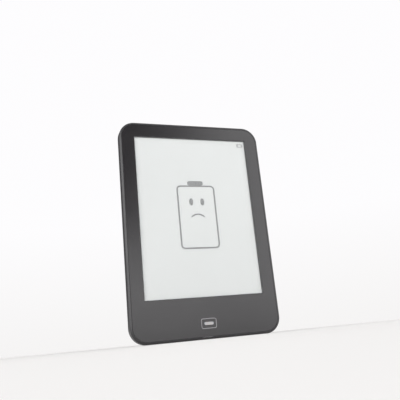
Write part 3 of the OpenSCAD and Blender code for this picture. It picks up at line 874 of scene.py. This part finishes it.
def moulded(name, colour, worn_and_lit, low, high, grain, depth, drift=0.06, amount=0.35):
    """Moulded plastic: a drifting tone, edges lighter with wear and a painted highlight, smudges
    and a fine grain. Its roughness runs from low to high, and the grain's size and depth are in
    metres."""
    material, tree, shader = new_material(name)
    tone = use(tree, "tone_drift", Colour=colour, Scale=35, Drift=drift)["Colour"]
    # Edges lighter: partly wear, partly a painted highlight along them
    edge = use(tree, "edge_wear_and_highlight", Colour=tone, Rubbed=worn_and_lit, Amount=amount)["Colour"]
    skin = use(tree, "grain", Scale=1 / grain, Depth=depth)["Normal"]
    coat(tree, shader, edge, 45, low, high, normal=skin)
    return material


def soft_touch_plastic():
    grey, light = opaque(0.024, 0.023, 0.025), opaque(0.08, 0.078, 0.08)
    return moulded("soft_touch_plastic", grey, light, 0.32, 0.42, 0.00025, 0.000012, drift=0.1)


def bezel_plastic():
    grey, light = opaque(0.0132, 0.0118, 0.0135), opaque(0.06, 0.058, 0.06)
    return moulded("bezel_plastic", grey, light, 0.235, 0.268, 0.00018, 0.000003)


def frame_plastic():
    grey, light = opaque(0.02, 0.02, 0.021), opaque(0.05, 0.05, 0.052)
    return moulded("frame_plastic", grey, light, 0.5, 0.62, 0.0003, 0.00002)


def key_plastic():
    grey, light = opaque(0.042, 0.041, 0.043), opaque(0.14, 0.135, 0.14)
    return moulded("key_plastic", grey, light, 0.3, 0.4, 0.0002, 0.00001, amount=0.5)


def connector_ivory():
    ivory, pale = opaque(0.72, 0.66, 0.52), opaque(0.85, 0.8, 0.7)
    return moulded("connector_ivory", ivory, pale, 0.35, 0.5, 0.00025, 0.000008)


def chip_black():
    black, grey = opaque(0.018, 0.018, 0.019), opaque(0.06, 0.06, 0.062)
    return moulded("chip_black", black, grey, 0.45, 0.6, 0.00012, 0.000008, drift=0.15)


def part_brown():
    brown, pale = opaque(0.16, 0.1, 0.06), opaque(0.5, 0.48, 0.45)
    return moulded("part_brown", brown, pale, 0.3, 0.45, 0.00015, 0.000004, drift=0.3, amount=0.9)


def wire_red():
    red, pale = opaque(0.45, 0.02, 0.015), opaque(0.6, 0.08, 0.06)
    return moulded("wire_red", red, pale, 0.3, 0.42, 0.0004, 0.00001)


def cable_black():
    black, grey = opaque(0.02, 0.02, 0.021), opaque(0.07, 0.07, 0.07)
    return moulded("cable_black", black, grey, 0.35, 0.5, 0.0003, 0.00001)


def clear_sheet(name, tint, alpha, low, high):
    """A clear plastic sheet with a faint veil and soft smudges."""
    material, tree, shader = new_material(name)
    tone = use(tree, "tone_drift", Colour=tint, Scale=25, Drift=0.03)["Colour"]
    coat(tree, shader, tone, 30, low, high)
    shader["Alpha"].default_value = alpha
    return material


def clear_cover():
    return clear_sheet("clear_cover", opaque(0.55, 0.56, 0.56), 0.05, 0.29, 0.36)


def clear_film():
    return clear_sheet("clear_film", opaque(0.7, 0.72, 0.72), 0.02, 0.15, 0.25)


def clear_guide():
    return clear_sheet("clear_guide", opaque(0.75, 0.78, 0.8), 0.02, 0.08, 0.14)


def inside_picture(tree):
    """A mask that is 1 over the picture area and 0 on the film's dark border."""
    middle = picture_middle() * MM
    half_w = (film_high.x - PICTURE_MARGIN) * MM
    half_h = middle.z - (film_low.z + PICTURE_FOOT) * MM
    place = add(tree, "SeparateXYZ", {"Vector": place_on_object(tree)}).outputs
    across = sum_of(tree, "LESS_THAN", sum_of(tree, "ABSOLUTE", place["X"]), half_w)
    height = sum_of(tree, "ABSOLUTE", sum_of(tree, "SUBTRACT", place["Z"], middle.z))
    return sum_of(tree, "MULTIPLY", across, sum_of(tree, "LESS_THAN", height, half_h))


def capsules(tree, dark, light):
    """The speckle of the e-paper's capsules, between two tones, and the normal of its surface."""
    skin = use(tree, "grain", Scale=1 / CAPSULE, Depth=0.000002)
    speckle = between(tree, skin["Grain"], 0.25, 0.7)
    return mixed(tree, speckle, dark, light), skin["Normal"]


def epaper():
    """Pale capsules with a fine speckle, and a dark border round the picture area."""
    material, tree, shader = new_material("epaper")
    dark, light = opaque(0.526, 0.542, 0.536), opaque(0.581, 0.597, 0.59)
    pale, normal = capsules(tree, dark, light)
    tone = use(tree, "tone_drift", Colour=pale, Scale=22, Drift=0.012)["Colour"]
    paper = mixed(tree, inside_picture(tree), opaque(0.012, 0.012, 0.013), tone)
    coat(tree, shader, paper, 30, 0.5, 0.6, normal=normal)
    return material


def epaper_ink():
    """The grey that the capsules turn where the picture is drawn."""
    material, tree, shader = new_material("epaper_ink")
    dark, light = opaque(0.135, 0.139, 0.139), opaque(0.185, 0.19, 0.19)
    grey = capsules(tree, dark, light)[0]
    coat(tree, shader, grey, 30, 0.5, 0.6)
    return material


def backplane():
    """Dark glass with the fine columns of the display's circuits."""
    material, tree, shader = new_material("backplane")
    columns = use(tree, "stripes", Pitch=0.0004, Width=0.2)["Stripe"]
    glass = opaque(0.035, 0.05, 0.045)
    dark = use(tree, "tone_drift", Colour=glass, Scale=40, Drift=0.15)["Colour"]
    tone = mixed(tree, columns, dark, opaque(0.1, 0.11, 0.1))
    coat(tree, shader, tone, 50, 0.08, 0.16)
    return material


def printed_line():
    """Grey print laid into the bezel, a little uneven where the ink is thin."""
    material, tree, shader = new_material("printed_line")
    grey = opaque(0.215, 0.21, 0.22)
    tone = use(tree, "tone_drift", Colour=grey, Scale=900, Drift=0.1)["Colour"]
    skin = use(tree, "grain", Scale=1 / 0.0001, Depth=0.000003)["Normal"]
    coat(tree, shader, tone, 200, 0.36, 0.46, normal=skin)
    return material


def light_diffuser():
    """Milky plastic that carries light to the surface."""
    material, tree, shader = new_material("light_diffuser")
    milky = opaque(0.36, 0.36, 0.365)
    tone = use(tree, "tone_drift", Colour=milky, Scale=300, Drift=0.05)["Colour"]
    coat(tree, shader, tone, 150, 0.3, 0.4)
    shader["Subsurface Weight"].default_value = 0.15
    shader["Subsurface Scale"].default_value = 0.0005
    return material


def sheet_metal(name, colour, low, high, line, depth, drift=0.05):
    """Rolled sheet metal, with a drifting tone and fine lines along its height. The size of the
    lines and their depth are in metres."""
    material, tree, shader = new_material(name)
    lines = use(tree, "rolled_lines", Scale=1 / line, Depth=depth, Low=low, High=high)
    tone = use(tree, "tone_drift", Colour=colour, Scale=60, Drift=drift)["Colour"]
    # A brighter tone at the edges: partly wear, partly a painted highlight along them
    bright = opaque(*(min(1, part * 1.2) for part in colour[:3]))
    edge = use(tree, "edge_wear_and_highlight", Colour=tone, Rubbed=bright, Amount=0.6)
    fill(tree, shader["Base Color"], edge["Colour"])
    fill(tree, shader["Roughness"], lines["Roughness"])
    fill(tree, shader["Normal"], lines["Normal"])
    shader["Metallic"].default_value = 1.0
    return material


def chassis_metal():
    return sheet_metal("chassis_metal", opaque(0.62, 0.63, 0.64), 0.3, 0.42, 0.0002, 0.000004)


def screw_steel():
    steel = opaque(0.42, 0.42, 0.43)
    return sheet_metal("screw_steel", steel, 0.29, 0.4, 0.0001, 0.000002, drift=0.12)


def shield_metal():
    return sheet_metal("shield_metal", opaque(0.66, 0.66, 0.65), 0.29, 0.38, 0.00015, 0.000003)


def gold_plate():
    return sheet_metal("gold_plate", opaque(0.83, 0.6, 0.26), 0.16, 0.26, 0.00008, 0.000001)


def circuit_board():
    """Green solder mask over copper, with small gold vias. By region, the copper is level
    tracks, upright tracks or one solid face."""
    material, tree, shader = new_material("circuit_board")
    place = place_on_object(tree)
    along = add(tree, "SeparateXYZ", {"Vector": place}).outputs
    cells = {"Vector": place, "Scale": 1 / BOARD_REGION}
    regions = add(tree, "TexVoronoi", cells, distance="CHEBYCHEV").outputs["Color"]
    region = add(tree, "SeparateColor", {"Color": regions}).outputs
    upright = fine_lines(tree, along["X"], TRACK_PITCH, TRACK_SHARE)
    level = fine_lines(tree, along["Z"], TRACK_PITCH, TRACK_SHARE)
    is_level = sum_of(tree, "GREATER_THAN", region["Red"], 0.5)
    turned = sum_of(tree, "SUBTRACT", level, upright)
    tracks = sum_of(tree, "MULTIPLY_ADD", is_level, turned, upright)
    copper = sum_of(tree, "MAXIMUM", tracks, sum_of(tree, "GREATER_THAN", region["Green"], 0.7))
    holes = add(tree, "TexVoronoi", {"Vector": place, "Scale": 1 / VIA_PITCH})
    vias = sum_of(tree, "LESS_THAN", holes.outputs["Distance"], VIA_SHARE)
    mask = opaque(0.012, 0.09, 0.04)
    green = use(tree, "tone_drift", Colour=mask, Scale=80, Drift=0.15)["Colour"]
    masked = mixed(tree, copper, green, opaque(0.03, 0.14, 0.065))
    face = mixed(tree, vias, masked, opaque(0.7, 0.52, 0.24))
    coat(tree, shader, face, 60, 0.28, 0.4, normal=bumped(tree, copper, 0.00003))
    fill(tree, shader["Metallic"], vias)
    return material


def flex_amber():
    """Amber polyimide with copper tracks inside it."""
    material, tree, shader = new_material("flex_amber")
    tracks = use(tree, "stripes", Pitch=0.0006, Width=0.55)["Stripe"]
    amber = use(tree, "tone_drift", Colour=opaque(0.42, 0.19, 0.03), Scale=90, Drift=0.1)["Colour"]
    tone = mixed(tree, tracks, amber, opaque(0.56, 0.3, 0.08))
    coat(tree, shader, tone, 80, 0.29, 0.38)
    return material


def cell_foil():
    """Dull aluminium pouch, with soft creases along its height."""
    material, tree, shader = new_material("cell_foil")
    creases = noise(tree, place_on_object(tree, (1, 1, 0.3)), 180, 4)
    tone = use(tree, "tone_drift", Colour=opaque(0.6, 0.61, 0.63), Scale=40, Drift=0.08)["Colour"]
    coat(tree, shader, tone, 50, 0.3, 0.48, normal=bumped(tree, creases, 0.0001, strength=0.6))
    shader["Metallic"].default_value = 1.0
    return material


def tape(name, colour):
    """Adhesive tape, with small wrinkles and a satin back."""
    material, tree, shader = new_material(name)
    wrinkles = noise(tree, place_on_object(tree), 400, 4)
    tone = use(tree, "tone_drift", Colour=colour, Scale=70, Drift=0.1)["Colour"]
    coat(tree, shader, tone, 90, 0.35, 0.55, normal=bumped(tree, wrinkles, 0.00003, strength=0.5))
    return material


def tape_black():
    return tape("tape_black", opaque(0.014, 0.014, 0.015))


def tape_blue():
    return tape("tape_blue", opaque(0.03, 0.15, 0.42))


def foam():
    """Open-cell foam: dark pits between soft walls."""
    material, tree, shader = new_material("foam")
    cells = add(tree, "TexVoronoi", {"Vector": place_on_object(tree), "Scale": 1 / 0.0006})
    pits = between(tree, cells.outputs["Distance"], 0.1, 0.6)
    tone = mixed(tree, pits, opaque(0.01, 0.01, 0.01), opaque(0.06, 0.06, 0.062))
    coat(tree, shader, tone, 90, 0.85, 0.95, normal=bumped(tree, pits, 0.0002))
    return material


def lamp_yellow():
    """The yellow phosphor that covers a small lamp."""
    material, tree, shader = new_material("lamp_yellow")
    skin = use(tree, "grain", Scale=1 / 0.0001, Depth=0.00001)
    speckle = between(tree, skin["Grain"], 0.2, 0.8)
    phosphor = mixed(tree, speckle, opaque(0.75, 0.6, 0.12), opaque(0.86, 0.76, 0.3))
    coat(tree, shader, phosphor, 300, 0.35, 0.5, normal=skin["Normal"])
    return material


FINISHES = (
    soft_touch_plastic, bezel_plastic, frame_plastic, key_plastic, clear_cover, clear_film,
    clear_guide, epaper, backplane, printed_line, light_diffuser, chassis_metal, screw_steel,
    shield_metal, circuit_board, chip_black, flex_amber, connector_ivory, cell_foil, tape_black,
    tape_blue, foam, wire_red, cable_black, part_brown, lamp_yellow, epaper_ink, gold_plate,
)


def give_finish(obj, material):
    """Makes a material an object's only one."""
    obj.data.materials.clear()
    obj.data.materials.append(material)


# ---------------------------------------------------------------- the whole reader


def make_pieces():
    """The pieces that stand for CAD nodes, with the name of each one's finish."""
    return [
        (make_cover_shell(), "soft_touch_plastic"),
        (make_bezel_plate(), "bezel_plastic"),
        (make_key("power_cap", "power_key"), "key_plastic"),
        (make_key("light_cap", "light_key"), "key_plastic"),
        (make_sheet("cover_pane", "screen_cover", COVER_CORNER, "clear_cover"), "clear_cover"),
        (make_sheet("touch_pane", "touch_film", FILM_CORNER, "clear_film"), "clear_film"),
        (make_sheet("guide_pane", "light_guide", COVER_CORNER, "clear_guide"), "clear_guide"),
        (make_usb_shell(), "shield_metal"),
        (make_usb_insert(), "chip_black"),
        (make_usb_contacts(), "gold_plate"),
        (make_picture(), "epaper_ink"),
        (make_status_mark(), "epaper_ink"),
    ]


def build_reader():
    """Gives every CAD node the finish that its material slot is named after, and adds the
    pieces that stand for some of them."""
    finishes = {finish.__name__: finish() for finish in FINISHES}
    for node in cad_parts.values():
        give_finish(node, finishes[node.data.materials[0].name])
    for piece, name in make_pieces():
        give_finish(piece, finishes[name])


# ---------------------------------------------------------------- studio


def make_camera():
    """A camera low on the left, which looks slightly up at the reader."""
    data = bpy.data.cameras.new("camera")
    data.lens = CAMERA_LENS
    data.sensor_width = CAMERA_SENSOR
    data.clip_start = MM
    camera = bpy.data.objects.new("camera", data)
    scene.collection.objects.link(camera)
    azimuth, elevation = math.radians(CAMERA_AZIMUTH), math.radians(CAMERA_ELEVATION)
    forward = Vector((
        math.sin(azimuth) * math.cos(elevation),
        math.cos(azimuth) * math.cos(elevation),
        math.sin(elevation),
    ))
    roll = Quaternion((0, 0, 1), math.radians(CAMERA_ROLL))
    middle = (window_low + window_high) / 2
    middle.y = window_low.y
    camera.location = (middle + CAMERA_OFFSET) * MM
    camera.rotation_mode = "QUATERNION"
    camera.rotation_quaternion = forward.to_track_quat("-Z", "Y") @ roll
    scene.camera = camera


def make_world():
    """A white tent: even light all round, and a backdrop that pales upwards for the camera."""
    world = bpy.data.worlds.new("white_tent")
    scene.world = world
    world.use_nodes = True
    tree = world.node_tree
    background = tree.nodes["Background"]
    way = add(tree, "TexCoord").outputs["Generated"]
    height = add(tree, "SeparateXYZ", {"Vector": way}).outputs["Z"]
    seen = mixed(tree, between(tree, height, 0.0, TENT_RISE), TENT_FOOT, TENT_TOP)
    eye = add(tree, "LightPath").outputs["Is Camera Ray"]
    fill(tree, background.inputs["Color"], mixed(tree, eye, TENT_LIGHT, seen))


def way_to(azimuth, elevation):
    """Direction from the reader to a place in the studio, with azimuth 0 in front of it."""
    azimuth, elevation = math.radians(azimuth), math.radians(elevation)
    flat = math.cos(elevation)
    return Vector((math.sin(azimuth) * flat, -math.cos(azimuth) * flat, math.sin(elevation)))


def face_reader(obj, azimuth, elevation, distance):
    """Puts a light or a panel in the studio, turned towards the reader."""
    way = way_to(azimuth, elevation)
    obj.location = (body_low + body_high) / 2 * MM + way * distance
    obj.rotation_mode = "QUATERNION"
    obj.rotation_quaternion = way.to_track_quat("Z", "Y")


def softbox(name, azimuth, elevation, distance, width, height, brightness):
    """A lamp whose face is equally bright at any size, and which the camera doesn't see."""
    data = bpy.data.lights.new(name, "AREA")
    data.shape = "RECTANGLE"
    data.size = width
    data.size_y = height
    data.energy = brightness * width * height * math.pi
    light = bpy.data.objects.new(name, data)
    scene.collection.objects.link(light)
    face_reader(light, azimuth, elevation, distance)
    light.visible_camera = False


def dark_panel(name, azimuth, elevation, distance, width, height):
    """A dark panel that shows only in reflections and in the light that it holds back."""
    deselect_all()
    bpy.ops.mesh.primitive_plane_add(size=1)
    panel = bpy.context.object
    panel.name = name
    face_reader(panel, azimuth, elevation, distance)
    panel.scale = (width, height, 1)
    panel.visible_camera = False
    material, tree, shader = new_material(name + "_cloth")
    tone = use(tree, "tone_drift", Colour=opaque(0.05, 0.05, 0.05), Scale=3, Drift=0.2)
    fill(tree, shader["Base Color"], tone["Colour"])
    shader["Roughness"].default_value = 1.0
    give_finish(panel, material)


def make_floor():
    """A large pale floor, level with the bottom edge. Far behind the reader, where the lamps
    don't reach, it glows a little, and so it meets the backdrop without a dark line."""
    deselect_all()
    bpy.ops.mesh.primitive_circle_add(vertices=128, radius=FLOOR_RADIUS, fill_type="NGON")
    floor = bpy.context.object
    floor.name = "floor"
    material, tree, shader = new_material("pale_floor")
    tone = use(tree, "tone_drift", Colour=FLOOR_TONE, Scale=6, Drift=0.01)
    behind = add(tree, "SeparateXYZ", {"Vector": place_on_object(tree)}).outputs["Y"]
    far = between(tree, behind, FLOOR_NEAR, FLOOR_FAR)
    fill(tree, shader["Base Color"], tone["Colour"])
    fill(tree, shader["Emission Color"], mixed(tree, far, opaque(0, 0, 0), FAR_GLOW))
    shader["Emission Strength"].default_value = 1.0
    shader["Roughness"].default_value = 1.0
    shader["Specular IOR Level"].default_value = 0.0
    give_finish(floor, material)


def light_studio():
    """The tent, its lamps and dark panels, and the floor."""
    scene.view_settings.view_transform = "Standard"
    make_world()
    for name, lamp in LAMPS.items():
        softbox(name, *lamp)
    for name, panel in DARK_PANELS.items():
        dark_panel(name, *panel)
    make_floor()


# ---------------------------------------------------------------- build


make_camera()
light_studio()
build_reader()
